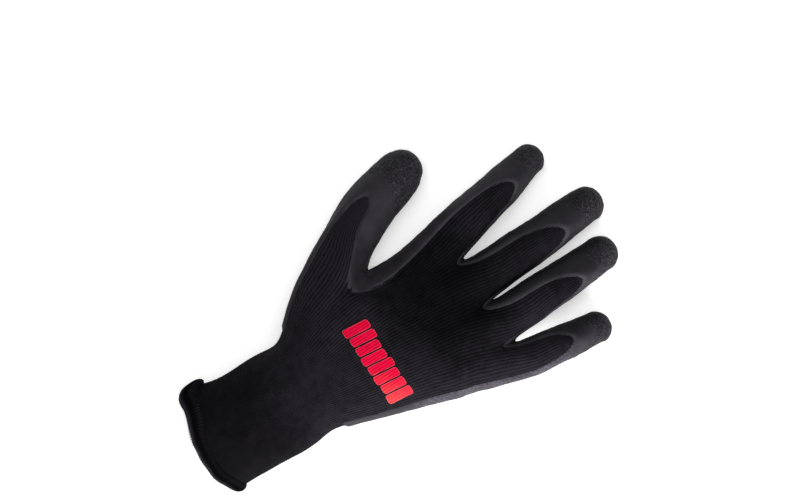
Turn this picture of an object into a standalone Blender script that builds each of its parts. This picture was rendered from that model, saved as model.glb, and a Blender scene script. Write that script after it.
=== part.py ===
"""Knitted work glove for the right hand, with a dipped latex palm, lying palm down.

The glove is a seamless knitted liner, a latex coat over its palm side, sides and
fingertips, a knitted cuff, an overlocked hem round the cuff's mouth and a printed
band on the back of the hand. The liner's outer face is one coarse cage of named
sections, drawn out until its subdivided surface passes through them. The liner's
wall, the coat and the print are all taken from that one surface.

Metres, +Z up, +Y from the wrist to the fingertips, +X to the little finger's side.
The origin is on the floor, under the middle of the heel of the palm.
"""
import math
from collections import namedtuple

import bmesh
import bpy
from mathutils import Vector
from mathutils.bvhtree import BVHTree

# The hand's driving sizes. Widths of the hand and wrist are over the liner, those of
# the fingers and the thumb over the coat.
PALM_LENGTH = 0.100         # wrist seam to the web of index and middle finger
WRIST_WIDTH = 0.0555
BALL_WIDTH = 0.103          # across the hand and the ball of the thumb
KNUCKLE_WIDTH = 0.092
BACK_HEIGHT = 0.038         # top of the back over the floor
FINGER_LENGTH = 0.0836      # middle finger, from its root
THUMB_LENGTH = 0.066        # from its root to its tip
THUMB_WIDTH = 0.0286
WRIST_SET_BACK = 0.030      # wrist seam behind the origin

# Walls and clearances
LINER_WALL = 0.0016
COAT_THICKNESS = 0.0009
COAT_CLEARANCE = 0.0003
CUFF_WALL = 0.0018
SEAM_GAP = 0.0003           # between liner, cuff and hem, edge to edge
COAT_EDGE = 0.15            # coat's lower edge, as a share of the first band's length

# Cuff and hem
CUFF_LENGTH = 0.052         # at the cuff's sides
CUFF_SAG = 0.010            # how much longer the cuff is over its back
CUFF_SLANT = 0.003          # how much longer it is at the little finger's side
HEM_WIDTH = 0.0062
HEM_THICKNESS = 0.0044
HEM_SIDES = 8

# Printed band across the back of the hand
PRINT_LENGTH = 0.046
PRINT_WIDTH = 0.0135
PRINT_THICKNESS = 0.0004
PRINT_CLEARANCE = 0.0003
PRINT_CENTRE_X = 0.010
PRINT_ABOVE_WRIST = 0.0375
PRINT_SLITS = 7
PRINT_SLIT_WIDTH = 0.0008
PRINT_SLANT = 0.0016        # how far a slit leans over the band's width
PRINT_RAIL = 0.15           # share of the band's width left whole along each edge
COLUMNS_PER_BAR = 3         # two halves of a bar and the slit after it

SUBDIVISIONS = 1
FIT_ROUNDS = 5              # rounds that draw the cage out to its sections
COVER = COAT_CLEARANCE + COAT_THICKNESS

# Sections across the palm. along_* are shares of PALM_LENGTH at the thumb's and the
# little finger's side, and side_reach is how much further the thumb side's middle
# lies. centre is a share of KNUCKLE_WIDTH. width is a share of the way from the
# wrist's width to the ball's up to the split, and of KNUCKLE_WIDTH after it. The line
# columns are shares of the half width: the coat's edges and the lines that run up to
# each web. top, middle, bottom and the dips of the lines are shares of BACK_HEIGHT.
PalmRow = namedtuple(
    "PalmRow",
    "name along_thumb along_little side_reach centre width"
    " coat_thumb thumb_web index_web middle_web ring_web coat_little"
    " top middle bottom thumb_dip web_dip",
)
PALM_ROWS = [
    PalmRow("wrist", 0.00, 0.00, 0.00, -0.003, 0.00,
            -0.946, -0.55, -0.17, 0.21, 0.59, 0.93, 1.00, 0.50, 0.02, 0.00, 0.00),
    PalmRow("ball", 0.19, 0.22, 0.00, -0.047, 0.45,
            -0.968, -0.51, -0.09, 0.29, 0.65, 0.96, 1.02, 0.46, -0.01, 0.00, 0.00),
    PalmRow("split", 0.44, 0.55, 0.00, -0.065, 1.00,
            -0.975, -0.47, -0.09, 0.28, 0.63, 0.94, 1.00, 0.43, 0.02, 0.10, 0.00),
    PalmRow("web", 0.56, 0.67, 0.08, 0.094, 0.878,
            None, -0.79, -0.47, 0.04, 0.51, 0.93, 0.99, 0.46, 0.08, 0.02, 0.00),
    PalmRow("palm", 0.77, 0.78, 0.02, 0.111, 0.91,
            None, -0.82, -0.49, 0.04, 0.52, 0.94, 0.96, 0.48, 0.14, 0.00, 0.02),
    PalmRow("knuckle", 1.01, 0.93, 0.00, 0.119, 1.00,
            None, -0.88, -0.46, 0.11, 0.59, 0.96, 0.88, 0.52, 0.19, 0.00, 0.08),
]
SPLIT_ROW = 2               # the thumb leaves the palm at this row
DOME_POWER = 2.3            # roundness of the back across the hand
PALM_POWER = 3.0            # flatter underside
SIDE_LINE = 0.88            # underside's outermost lines, as a share of the half width

# Webs: where the crotch between two neighbours lies. across is a share of
# KNUCKLE_WIDTH, along of PALM_LENGTH and rise of BACK_HEIGHT.
Web = namedtuple("Web", "name across along rise")
THUMB_WEB = Web("thumb_web", -0.370, 0.583, 0.40)
FINGER_WEBS = [
    Web("index_web", -0.110, 1.013, 0.50),
    Web("middle_web", 0.168, 1.035, 0.56),
    Web("ring_web", 0.438, 1.030, 0.48),
]
WEB_REACH = 0.035           # share of PALM_LENGTH by which the palm side lies further out

# Fingers. across and the widths are shares of KNUCKLE_WIDTH, along of PALM_LENGTH,
# length of FINGER_LENGTH and rise of BACK_HEIGHT. splay and roll are degrees, bare is
# the share of the finger whose back the coat leaves bare, window how wide that is.
Finger = namedtuple(
    "Finger", "name across along length splay root_width tip_width roll rise bare window"
)
FINGERS = [
    Finger("index", -0.2565, 1.00, 0.849, -11.3, 0.267, 0.188, -20.0, 0.51, 0.63, 0.95),
    Finger("middle", 0.0337, 1.00, 1.000, -2.0, 0.268, 0.210, -25.0, 0.54, 0.63, 1.08),
    Finger("ring", 0.3030, 0.98, 0.930, -1.2, 0.260, 0.208, -33.0, 0.53, 0.63, 1.00),
    Finger("little", 0.5470, 0.98, 0.648, 9.2, 0.228, 0.184, -2.0, 0.49, 0.55, 0.90),
]
# Sections up a finger. along runs from 0 to 1 over its bare part and on to 2 at its
# tip, taper from the root's width to the tip's. full is a share of that width. bow is
# a share of the root's width, height of the section's width, arch of the length. rise
# runs from the root's height to the fingertip's on the floor. window is half the bare
# angle, in degrees.
FingerRow = namedtuple("FingerRow", "along taper full bow height rise window arch")
FINGER_ROWS = [
    FingerRow(0.32, 0.10, 1.00, 0.000, 0.93, 0.02, 57.0, 0.00),
    FingerRow(0.68, 0.36, 1.00, 0.000, 0.90, 0.22, 52.0, 0.00),
    FingerRow(1.00, 0.55, 1.00, 0.010, 0.90, 0.62, 39.0, 0.06),
    FingerRow(1.57, 1.00, 1.00, -0.008, 0.88, 0.98, 40.0, 0.02),
    FingerRow(1.88, 1.00, 0.81, 0.000, 0.86, 1.00, 42.0, 0.00),
]
BARE_FINGER_BANDS = 3       # bands, from the root, whose back is bare knit
TIP_FLATTEN = 0.0008        # how much of a fingertip the floor presses flat

# Thumb: its root is a place in shares of BALL_WIDTH and PALM_LENGTH. along and across
# are shares of THUMB_LENGTH, width of THUMB_WIDTH, height and rise of BACK_HEIGHT.
# lean, window and THUMB_ROLL are degrees.
THUMB_ROOT = namedtuple("ThumbRoot", "across along")(-0.442, 0.500)
THUMB_ROLL = 17.0
ThumbRow = namedtuple("ThumbRow", "along across lean width height rise window arch")
THUMB_ROWS = [
    ThumbRow(0.205, -0.130, 26.0, 0.99, 0.632, 0.404, 35.0, 0.00),
    ThumbRow(0.445, -0.235, 19.0, 0.99, 0.600, 0.379, 26.0, 0.06),
    ThumbRow(0.745, -0.318, 15.0, 0.88, 0.543, 0.316, 40.0, 0.02),
    ThumbRow(0.890, -0.355, 13.0, 0.60, 0.392, 0.297, 42.0, 0.00),
]
THUMB_TIP = ThumbRow(0.945, -0.372, 13.0, 0.0, 0.0, 0.290, 0.0, 0.00)
BARE_THUMB_BANDS = 2

# Sections down the cuff: along is a share of CUFF_LENGTH, width and shift of the
# cuff's middle are shares of WRIST_WIDTH, top and bottom of BACK_HEIGHT. sag says how
# much of CUFF_SAG and CUFF_SLANT the section takes.
CuffRow = namedtuple("CuffRow", "along width shift top bottom sag")
CUFF_ROWS = [
    CuffRow(0.00, 1.000, -0.004, 1.000, 0.03, 0.00),
    CuffRow(0.25, 1.007, 0.006, 1.010, -0.02, 0.10),
    CuffRow(0.60, 1.003, -0.003, 1.030, -0.02, 0.40),
    CuffRow(0.85, 1.002, -0.020, 1.045, -0.01, 0.78),
    CuffRow(1.00, 1.041, -0.045, 1.060, 0.01, 1.00),
]
# How much of CUFF_SAG the mouth takes at the thumb's side, at six lines over the back
# and at the little finger's side
MOUTH_SAG = (-0.15, 0.45, 0.62, 0.92, 0.94, 0.76, 0.20, 0.00)
# How far the hem lies outside the cuff's wall at the thumb's side, over the back, at
# the little finger's side and underneath, as shares of HEM_THICKNESS.
HEM_FLARE = namedtuple("HemFlare", "thumb back little under")(0.30, 0.08, 0.05, 0.00)

TOP_LINES = 11              # lines along the back, from the thumb's edge to the other
THUMB_LINE = 2              # line that runs up to the thumb's web
WEB_LINES = (4, 6, 8)       # lines that run up to the fingers' webs
TUBE_CORNERS = 8            # round a finger: three on its bare back, five on its coat
COLLECTION = "knitted_work_glove"


def material(name, colour, roughness):
    made = bpy.data.materials.new(name)
    made.use_nodes = True
    shader = made.node_tree.nodes["Principled BSDF"]
    shader.inputs["Base Color"].default_value = (*colour, 1.0)
    shader.inputs["Roughness"].default_value = roughness
    shader.inputs["Metallic"].default_value = 0.0
    return made


def place(x, y, z):
    """A point given from the wrist seam, in the glove's own frame."""
    return Vector((x, y - WRIST_SET_BACK, z))


def dome(share, power):
    """Height of a superellipse over its middle at a share of its half width."""
    return (1.0 - min(1.0, abs(share)) ** power) ** (1.0 / power)


def between(low, high, share):
    return low + (high - low) * share


class Cage:
    """Corners and four-sided faces, each face bare knit or under the coat."""

    def __init__(self):
        self.points = []
        self.faces = []
        self.bare = []

    def add(self, point):
        self.points.append(point)
        return len(self.points) - 1

    def face(self, corners, bare=False):
        self.faces.append(corners)
        self.bare.append(bare)

    def band(self, lower, upper, bare_columns):
        """Faces between two closed rings of as many corners."""
        count = len(lower)
        for k in range(count):
            after = (k + 1) % count
            self.face([lower[k], lower[after], upper[after], upper[k]], k in bare_columns)


def row_lines(row):
    """Shares of the half width of the lines over the back, by line number.

    Every other line is in the table, and the lines between lie halfway.
    """
    stated = [
        row.coat_thumb, row.thumb_web, row.index_web, row.middle_web, row.ring_web, row.coat_little,
    ]
    shares = {2 * k: share for k, share in enumerate(stated) if share is not None}
    for line in range(min(shares) + 1, TOP_LINES, 2):
        shares[line] = (shares[line - 1] + shares[line + 1]) / 2.0
    return dict(sorted(shares.items()))


def line_dip(row, line):
    """How far a web's line lies below the dome of the back."""
    if line == THUMB_LINE:
        return row.thumb_dip * BACK_HEIGHT
    return row.web_dip * BACK_HEIGHT if line in WEB_LINES else 0.0


def row_width(row, index):
    if index <= SPLIT_ROW:
        return between(WRIST_WIDTH, BALL_WIDTH, row.width)
    return KNUCKLE_WIDTH * row.width


def palm_ring(row, index):
    """The corners of one section: over the back, then back along the underside.

    Returned as a dictionary: ("top", line), ("bottom", line), "thumb_side" and
    "little_side".
    """
    half = row_width(row, index) / 2.0
    centre = row.centre * KNUCKLE_WIDTH
    top, middle, bottom = (share * BACK_HEIGHT for share in (row.top, row.middle, row.bottom))
    reach = WEB_REACH * PALM_LENGTH if row.name == "knuckle" else 0.0

    def along(share):
        return PALM_LENGTH * between(row.along_thumb, row.along_little, (share + 1.0) / 2.0)

    found = {}
    for line, share in row_lines(row).items():
        z = between(middle, top, dome(share, DOME_POWER)) - line_dip(row, line)
        found["top", line] = place(centre + half * share, along(share), z)
        low = max(-SIDE_LINE, min(SIDE_LINE, share))
        z = between(middle, bottom, dome(low, PALM_POWER))
        found["bottom", line] = place(centre + half * low, along(low) + reach, z)
    side = along(-1.0) + row.side_reach * PALM_LENGTH
    found["thumb_side"] = place(centre - half, side, middle)
    found["little_side"] = place(centre + half, along(1.0), middle)
    return found


def add_palm_ring(cage, row, index):
    """Adds a section's corners to the cage and returns their numbers by name."""
    return {name: cage.add(point) for name, point in palm_ring(row, index).items()}


def closed_ring(ring, first, last):
    """Corner numbers round a section, from the thumb's side over the back."""
    over = [ring["top", k] for k in range(first, last + 1)]
    under = [ring["bottom", k] for k in range(last, first - 1, -1)]
    return [*over, ring["little_side"], *under, ring["thumb_side"]]


def branch_ring(ring, first, before, after):
    """Corner numbers round a finger's root: two columns wide, between two webs."""
    lines = (first, first + 1, first + 2)
    over = [ring["top", k] for k in lines]
    under = [ring["bottom", k] for k in reversed(lines)]
    return [*over, after, *under, before]


def tube_angles(window_centre, window):
    """Angles of a tube's corners, from the left edge of its bare back round the coat."""
    coated = TUBE_CORNERS - 2
    step = (360.0 - 2.0 * window) / coated
    right = window_centre - window
    return [window_centre + window, window_centre, *[right - step * k for k in range(coated)]]


def tube_section(centre, heading, width, height, window_centre, window, arch):
    """Points round a finger, on the liner; its width and height are over the coat."""
    across = Vector((heading.y, -heading.x, 0.0))
    half_width = width / 2.0 - COVER
    half_height = height / 2.0 - COVER
    points = []
    for k, angle in enumerate(tube_angles(window_centre, window)):
        turn = math.radians(angle)
        point = centre + across * (math.cos(turn) * half_width)
        point += Vector((0.0, 0.0, math.sin(turn) * half_height))
        if k == 1:
            point += heading * arch
        points.append(point)
    return points


def close_tip(cage, ring, tip):
    """Four-sided faces over the last ring, which meet at the tip."""
    end = cage.add(tip)
    for k in range(0, TUBE_CORNERS, 2):
        cage.face([ring[k], ring[k + 1], ring[(k + 2) % TUBE_CORNERS], end])


def heading_of(degrees):
    """Direction in the floor plane, turned from +Y towards +X."""
    turn = math.radians(degrees)
    return Vector((math.sin(turn), math.cos(turn), 0.0))


def finger_share(finger, along):
    """Share of the finger's length: along is 1 where its bare part ends, 2 at its tip."""
    if along <= 1.0:
        return finger.bare * along
    return between(finger.bare, 1.0, along - 1.0)


def add_finger(cage, finger, root_ring):
    heading = heading_of(finger.splay)
    across = Vector((heading.y, -heading.x, 0.0))
    length = finger.length * FINGER_LENGTH
    root_width = finger.root_width * KNUCKLE_WIDTH
    tip_width = finger.tip_width * KNUCKLE_WIDTH
    root = place(finger.across * KNUCKLE_WIDTH, finger.along * PALM_LENGTH, 0.0)
    tip_rise = tip_width * FINGER_ROWS[-2].height / 2.0 - TIP_FLATTEN
    lower = root_ring
    for number, row in enumerate(FINGER_ROWS):
        width = between(root_width, tip_width, row.taper) * row.full
        centre = root + heading * (length * finger_share(finger, row.along))
        centre += across * (row.bow * root_width)
        centre.z = between(finger.rise * BACK_HEIGHT, tip_rise, row.rise)
        points = tube_section(
            centre, heading, width, width * row.height,
            90.0 + finger.roll, row.window * finger.window, row.arch * length,
        )
        upper = [cage.add(point) for point in points]
        cage.band(lower, upper, {0, 1} if number < BARE_FINGER_BANDS else set())
        lower = upper
    tip = root + heading * (length - COVER) + across * (FINGER_ROWS[-1].bow * root_width)
    tip.z = tip_rise
    close_tip(cage, lower, tip)


def thumb_centre(row):
    return place(
        THUMB_ROOT.across * BALL_WIDTH + row.across * THUMB_LENGTH,
        THUMB_ROOT.along * PALM_LENGTH + row.along * THUMB_LENGTH,
        row.rise * BACK_HEIGHT,
    )


def add_thumb(cage, root_ring):
    lower = root_ring
    for number, row in enumerate(THUMB_ROWS):
        points = tube_section(
            thumb_centre(row), heading_of(-row.lean),
            THUMB_WIDTH * row.width, BACK_HEIGHT * row.height,
            90.0 + THUMB_ROLL, row.window, row.arch * THUMB_LENGTH,
        )
        upper = [cage.add(point) for point in points]
        cage.band(lower, upper, {0, 1} if number < BARE_THUMB_BANDS else set())
        lower = upper
    close_tip(cage, lower, thumb_centre(THUMB_TIP))


def web_corner(cage, web):
    return cage.add(place(web.across * KNUCKLE_WIDTH, web.along * PALM_LENGTH, web.rise * BACK_HEIGHT))


def hand_cage():
    """The liner's outer face, from the wrist seam to the five tips."""
    cage = Cage()
    rings = [add_palm_ring(cage, row, index) for index, row in enumerate(PALM_ROWS)]
    last = TOP_LINES - 1
    for index in range(SPLIT_ROW):
        lower = closed_ring(rings[index], 0, last)
        upper = closed_ring(rings[index + 1], 0, last)
        cage.band(lower, upper, set(range(last)))
    thumb_web = web_corner(cage, THUMB_WEB)
    split = rings[SPLIT_ROW]
    add_thumb(cage, branch_ring(split, 0, split["thumb_side"], thumb_web))
    lower = closed_ring({**split, "thumb_side": thumb_web}, THUMB_LINE, last)
    for index in range(SPLIT_ROW + 1, len(PALM_ROWS)):
        upper = closed_ring(rings[index], THUMB_LINE, last)
        cage.band(lower, upper, set(range(last - THUMB_LINE)))
        lower = upper
    knuckle = rings[-1]
    webs = [knuckle["thumb_side"], *[web_corner(cage, web) for web in FINGER_WEBS], knuckle["little_side"]]
    for number, finger in enumerate(FINGERS):
        first = THUMB_LINE + 2 * number
        add_finger(cage, finger, branch_ring(knuckle, first, webs[number], webs[number + 1]))
    return cage


def mesh_object(name, points, faces, collection):
    mesh = bpy.data.meshes.new(name)
    mesh.from_pydata([tuple(p) for p in points], [], faces)
    made = bpy.data.objects.new(name, mesh)
    collection.objects.link(made)
    return made


def subdivide(shape, levels):
    smooth = shape.modifiers.new("smooth", "SUBSURF")
    smooth.levels = levels
    smooth.render_levels = levels
    smooth.boundary_smooth = "PRESERVE_CORNERS"


def evaluated_mesh(shape):
    bpy.context.view_layer.update()
    graph = bpy.context.evaluated_depsgraph_get()
    return bpy.data.meshes.new_from_object(shape.evaluated_get(graph))


def fit_to_sections(shape, targets):
    """Draws the cage out until its smooth surface passes through the sections."""
    for _ in range(FIT_ROUNDS):
        smooth = evaluated_mesh(shape)
        for number, target in enumerate(targets):
            shape.data.vertices[number].co += target - smooth.vertices[number].co
        bpy.data.meshes.remove(smooth)
        shape.data.update()


def smooth_skin(name, cage, collection):
    """The subdivided surface as plain points and faces, with each face's bare mark."""
    shape = mesh_object(name, cage.points, cage.faces, collection)
    for polygon, bare in zip(shape.data.polygons, cage.bare):
        polygon.material_index = 1 if bare else 0
    for slot_name in (name + "_coated", name + "_bare"):
        shape.data.materials.append(bpy.data.materials.new(slot_name))
    subdivide(shape, SUBDIVISIONS)
    fit_to_sections(shape, cage.points)
    skin = evaluated_mesh(shape)
    bpy.data.objects.remove(shape)
    return skin


def press_on_floor(mesh, height):
    """Flattens what would lie lower than that height."""
    for vertex in mesh.vertices:
        vertex.co.z = max(vertex.co.z, height)
    mesh.update()


def finish(shape, made_of, collection):
    shape.data.materials.clear()
    shape.data.materials.append(made_of)
    for polygon in shape.data.polygons:
        polygon.material_index = 0
    shape.data.shade_smooth()
    collection.objects.link(shape)
    return shape


def thicken(shape, thickness, outwards):
    wall = shape.modifiers.new("wall", "SOLIDIFY")
    wall.thickness = thickness
    wall.offset = 1.0 if outwards else -1.0
    wall.use_rim = True


def make_liner(skin, collection):
    shape = bpy.data.objects.new("knit_liner", skin.copy())
    thicken(shape, LINER_WALL, outwards=False)
    return finish(shape, material("black_knit", (0.012, 0.011, 0.013), 0.9), collection)


def lower_coat_edge(edit, wrist):
    """Moves the coat's lowest corners up their columns, clear of the wrist seam."""
    for corner in edit.verts:
        if corner.co.y > wrist + COAT_CLEARANCE:
            continue
        above = max((edge.other_vert(corner) for edge in corner.link_edges), key=lambda v: v.co.y)
        corner.co = corner.co.lerp(above.co, COAT_EDGE)


def make_coat(skin, collection):
    """The coated faces, moved off the liner and given their thickness outwards."""
    mesh = skin.copy()
    edit = bmesh.new()
    edit.from_mesh(skin)
    for corner in edit.verts:
        corner.co += corner.normal * COAT_CLEARANCE
    bare = [face for face in edit.faces if face.material_index == 1]
    bmesh.ops.delete(edit, geom=bare, context="FACES")
    lower_coat_edge(edit, -WRIST_SET_BACK)
    edit.to_mesh(mesh)
    edit.free()
    shape = bpy.data.objects.new("palm_coat", mesh)
    thicken(shape, COAT_THICKNESS, outwards=True)
    return finish(shape, material("grey_latex", (0.038, 0.037, 0.041), 0.75), collection)


def cuff_ring(row):
    """One section of the cuff, with a corner for every other line of the wrist."""
    half = WRIST_WIDTH * row.width / 2.0
    centre = WRIST_WIDTH * row.shift
    top, bottom = row.top * BACK_HEIGHT, row.bottom * BACK_HEIGHT
    middle = (top + bottom) / 2.0
    lines = row_lines(PALM_ROWS[0])

    def along(share, sag):
        longer = CUFF_SAG * sag + CUFF_SLANT * share
        return -SEAM_GAP - CUFF_LENGTH * row.along - longer * row.sag

    over, under = [], []
    for line, sag in zip(range(0, TOP_LINES, 2), MOUTH_SAG[1:-1]):
        share = lines[line]
        z = between(middle, top, dome(share, DOME_POWER))
        over.append(place(centre + half * share, along(share, sag), z))
        low = max(-SIDE_LINE, min(SIDE_LINE, share))
        z = between(middle, bottom, dome(low, PALM_POWER))
        under.append(place(centre + half * low, along(low, sag), z))
    little_side = place(centre + half, along(1.0, MOUTH_SAG[-1]), middle)
    thumb_side = place(centre - half, along(-1.0, MOUTH_SAG[0]), middle)
    return [*over, little_side, *reversed(under), thumb_side]


def cuff_cage():
    cage = Cage()
    rings = [[cage.add(point) for point in cuff_ring(row)] for row in CUFF_ROWS]
    for lower, upper in zip(rings[1:], rings):
        cage.band(lower, upper, set())
    return cage


def make_cuff(skin, collection):
    shape = bpy.data.objects.new("knit_cuff", skin.copy())
    thicken(shape, CUFF_WALL, outwards=False)
    return finish(shape, material("black_rib_knit", (0.010, 0.009, 0.011), 0.92), collection)


def mouth_loop(skin):
    """The cuff's open edge at its mouth, in order round it, with outward directions."""
    edit = bmesh.new()
    edit.from_mesh(skin)
    edit.verts.ensure_lookup_table()
    start = min(edit.verts, key=lambda v: v.co.y)
    loop = [start]
    while True:
        onward = [
            edge.other_vert(loop[-1]) for edge in loop[-1].link_edges
            if edge.is_boundary and edge.other_vert(loop[-1]) not in loop[-2:]
        ]
        if not onward or onward[0] is start:
            break
        loop.append(onward[0])
    found = [(v.co.copy(), v.normal.copy()) for v in loop]
    edit.free()
    return found


def make_hem(skin, collection):
    """A padded roll of overlock stitching round the cuff's mouth."""
    loop = mouth_loop(skin)
    centre = sum((point for point, _ in loop), Vector()) / len(loop)
    points, faces = [], []
    for point, normal in loop:
        out = Vector((normal.x, 0.0, normal.z)).normalized()
        sideways, upwards = abs(out.x), abs(out.z)
        side = HEM_FLARE.little if point.x > centre.x else HEM_FLARE.thumb
        level = HEM_FLARE.back if point.z > centre.z else HEM_FLARE.under
        flare = (side * sideways ** 2 + level * upwards ** 2) * HEM_THICKNESS
        middle = point + out * (flare - CUFF_WALL / 2.0)
        middle.y -= SEAM_GAP + HEM_WIDTH / 2.0
        for k in range(HEM_SIDES):
            turn = 2.0 * math.pi * k / HEM_SIDES
            spot = middle + out * (math.cos(turn) * HEM_THICKNESS / 2.0)
            spot.y += math.sin(turn) * HEM_WIDTH / 2.0
            spot.z = max(spot.z, 0.0)
            points.append(spot)
    count = len(loop)
    for ring in range(count):
        after = (ring + 1) % count
        for k in range(HEM_SIDES):
            onward = (k + 1) % HEM_SIDES
            faces.append([
                ring * HEM_SIDES + k, ring * HEM_SIDES + onward,
                after * HEM_SIDES + onward, after * HEM_SIDES + k,
            ])
    mesh = bpy.data.meshes.new("cuff_hem")
    mesh.from_pydata([tuple(p) for p in points], [], faces)
    edit = bmesh.new()
    edit.from_mesh(mesh)
    bmesh.ops.recalc_face_normals(edit, faces=edit.faces)
    edit.to_mesh(mesh)
    edit.free()
    shape = bpy.data.objects.new("cuff_hem", mesh)
    return finish(shape, material("black_overlock", (0.016, 0.015, 0.017), 0.95), collection)


def band_columns():
    """Places along the band: edges of its bars and slits, as lengths from its start."""
    bars = PRINT_SLITS + 1
    bar = (PRINT_LENGTH - PRINT_SLITS * PRINT_SLIT_WIDTH) / bars
    places = [0.0]
    for number in range(bars):
        places.append(places[-1] + bar / 2.0)
        places.append(places[-1] + bar / 2.0)
        if number < PRINT_SLITS:
            places.append(places[-1] + PRINT_SLIT_WIDTH)
    return places


def make_print(skin, collection):
    """A plain band of slanted bars, joined along both edges, laid on the knitted back."""
    tree = BVHTree.FromPolygons(
        [v.co for v in skin.vertices], [tuple(p.vertices) for p in skin.polygons]
    )
    columns = band_columns()
    rows = [0.0, PRINT_RAIL, 0.5, 1.0 - PRINT_RAIL, 1.0]
    above = 2.0 * BACK_HEIGHT
    points = []
    for share in rows:
        for reach in columns:
            x = PRINT_CENTRE_X - PRINT_LENGTH / 2.0 + reach + PRINT_SLANT * (share - 0.5)
            y = PRINT_ABOVE_WRIST + PRINT_WIDTH * (share - 0.5)
            hit, normal, _, _ = tree.ray_cast(place(x, y, above), Vector((0.0, 0.0, -1.0)))
            points.append(hit + normal * PRINT_CLEARANCE)
    count = len(columns)
    faces = []
    for r in range(len(rows) - 1):
        rail = r in (0, len(rows) - 2)
        for c in range(count - 1):
            if rail or c % COLUMNS_PER_BAR != COLUMNS_PER_BAR - 1:
                corner = r * count + c
                faces.append([corner, corner + 1, corner + count + 1, corner + count])
    mesh = bpy.data.meshes.new("back_print")
    mesh.from_pydata([tuple(p) for p in points], [], faces)
    shape = bpy.data.objects.new("back_print", mesh)
    thicken(shape, PRINT_THICKNESS, outwards=True)
    return finish(shape, material("red_print", (0.72, 0.02, 0.05), 0.6), collection)


def main():
    for thing in list(bpy.data.objects):
        bpy.data.objects.remove(thing)
    glove = bpy.data.collections.new(COLLECTION)
    bpy.context.scene.collection.children.link(glove)
    hand_skin = smooth_skin("hand", hand_cage(), glove)
    press_on_floor(hand_skin, COVER)
    make_liner(hand_skin, glove)
    make_coat(hand_skin, glove)
    make_print(hand_skin, glove)
    cuff_skin = smooth_skin("cuff", cuff_cage(), glove)
    press_on_floor(cuff_skin, 0.0)
    make_cuff(cuff_skin, glove)
    make_hem(cuff_skin, glove)


main()
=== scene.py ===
"""Looks of a knitted work glove for the right hand, with a dipped latex palm.

The glove lies palm down on a pale floor and the camera looks straight down on it. The
liner, the latex coat, the cuff, its hem and the printed band are fine meshes in place of
the plain solids. Metres, +Y to the fingertips, +X to the little finger's side, +Z up.
"""
import math
from collections import namedtuple
from contextlib import contextmanager

import bmesh
import bpy
import numpy as np
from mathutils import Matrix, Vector, kdtree, noise
from mathutils.bvhtree import BVHTree


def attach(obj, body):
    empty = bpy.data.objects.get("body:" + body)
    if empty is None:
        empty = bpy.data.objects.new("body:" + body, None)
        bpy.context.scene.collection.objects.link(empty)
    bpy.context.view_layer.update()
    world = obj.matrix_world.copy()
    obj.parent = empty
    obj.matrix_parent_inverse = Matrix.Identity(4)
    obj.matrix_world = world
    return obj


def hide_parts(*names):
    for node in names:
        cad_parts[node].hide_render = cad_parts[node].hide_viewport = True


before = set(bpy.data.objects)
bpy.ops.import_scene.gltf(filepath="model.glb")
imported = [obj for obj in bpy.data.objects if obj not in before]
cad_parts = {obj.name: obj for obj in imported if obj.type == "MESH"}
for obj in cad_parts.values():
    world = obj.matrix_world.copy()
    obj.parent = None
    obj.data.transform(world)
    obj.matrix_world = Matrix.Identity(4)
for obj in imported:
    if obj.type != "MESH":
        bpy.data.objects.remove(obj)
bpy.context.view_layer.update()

# The hand's driving sizes. Widths of the hand and wrist are over the liner, those of
# the fingers and the thumb over the coat.
PALM_LENGTH = 0.100
WRIST_WIDTH = 0.0555
BALL_WIDTH = 0.103
KNUCKLE_WIDTH = 0.092
BACK_HEIGHT = 0.038
FINGER_LENGTH = 0.0836
THUMB_LENGTH = 0.066
THUMB_WIDTH = 0.0286
WRIST_SET_BACK = 0.030
LINER_WALL = 0.0016
COAT_THICKNESS = 0.0009
COAT_CLEARANCE = 0.0003
COVER = COAT_CLEARANCE + COAT_THICKNESS     # from the knit's outer face to the coat's
CUFF_WALL = 0.0018
SEAM_GAP = 0.0003
CUFF_LENGTH = 0.052
CUFF_SAG = 0.010
CUFF_SLANT = 0.003
HEM_WIDTH = 0.0062
HEM_THICKNESS = 0.0044
PRINT_LENGTH = 0.046
PRINT_WIDTH = 0.0135
PRINT_CENTRE_X = 0.010
PRINT_ABOVE_WRIST = 0.0375
PRINT_SLITS = 7
PRINT_SLIT_WIDTH = 0.0008
PRINT_SLANT = 0.0016

# How fine each surface is
KNIT_LEVEL = 3              # subdivisions of the cage
COAT_LEVEL = 4
FIT_ROUNDS = 6              # of moving the cage, until its surface meets the sections
EDGE_ROUNDS = 40            # of averaging, which round the corners of the coat's edge
HEM_SIDES = 16
LOOP_SIDES = 16
THREAD_SIDES = 6
PRINT_COLUMNS = 16          # of faces in one bar
PRINT_ROWS = 40
SHARP_ANGLE = 0.9           # radians between faces from which an edge isn't smoothed
KINDS = ("coated", "bare", "cuff")  # what a face of the cage belongs to

# Knit: wales counted over the back at each web's line, and the height of a course
WALES = {0: -22, 2: -10, 4: 0, 6: 13, 8: 24, 10: 33}
COURSE = 0.00115
HIDDEN_WALES = 5            # to each column of the underside
Swell = namedtuple("Swell", "size depth seed")
KNIT_SWELLS = (Swell(0.016, 0.00045, 1.0), Swell(0.006, 0.00018, 5.0))
COVERED_FROM = (-0.004, 0.0)    # from the wrist seam, where the coat needs room below

# Where the knit's finish changes: from the start to the end of each change
BACK_SHADE_MIDDLE = (0.0, 0.058, 0.038)   # middle of the painted shade on the back, darkest there
BACK_SHADE_FROM = (0.012, 0.056)          # distance from that middle
RIBBED_FROM = (0.026, 0.046)        # from the hand's middle line towards the thumb
HAND_FROM = (-0.064, -0.026)        # along the hand, past the darker cuff
FINGERS_FROM = (0.080, 0.104)

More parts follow.
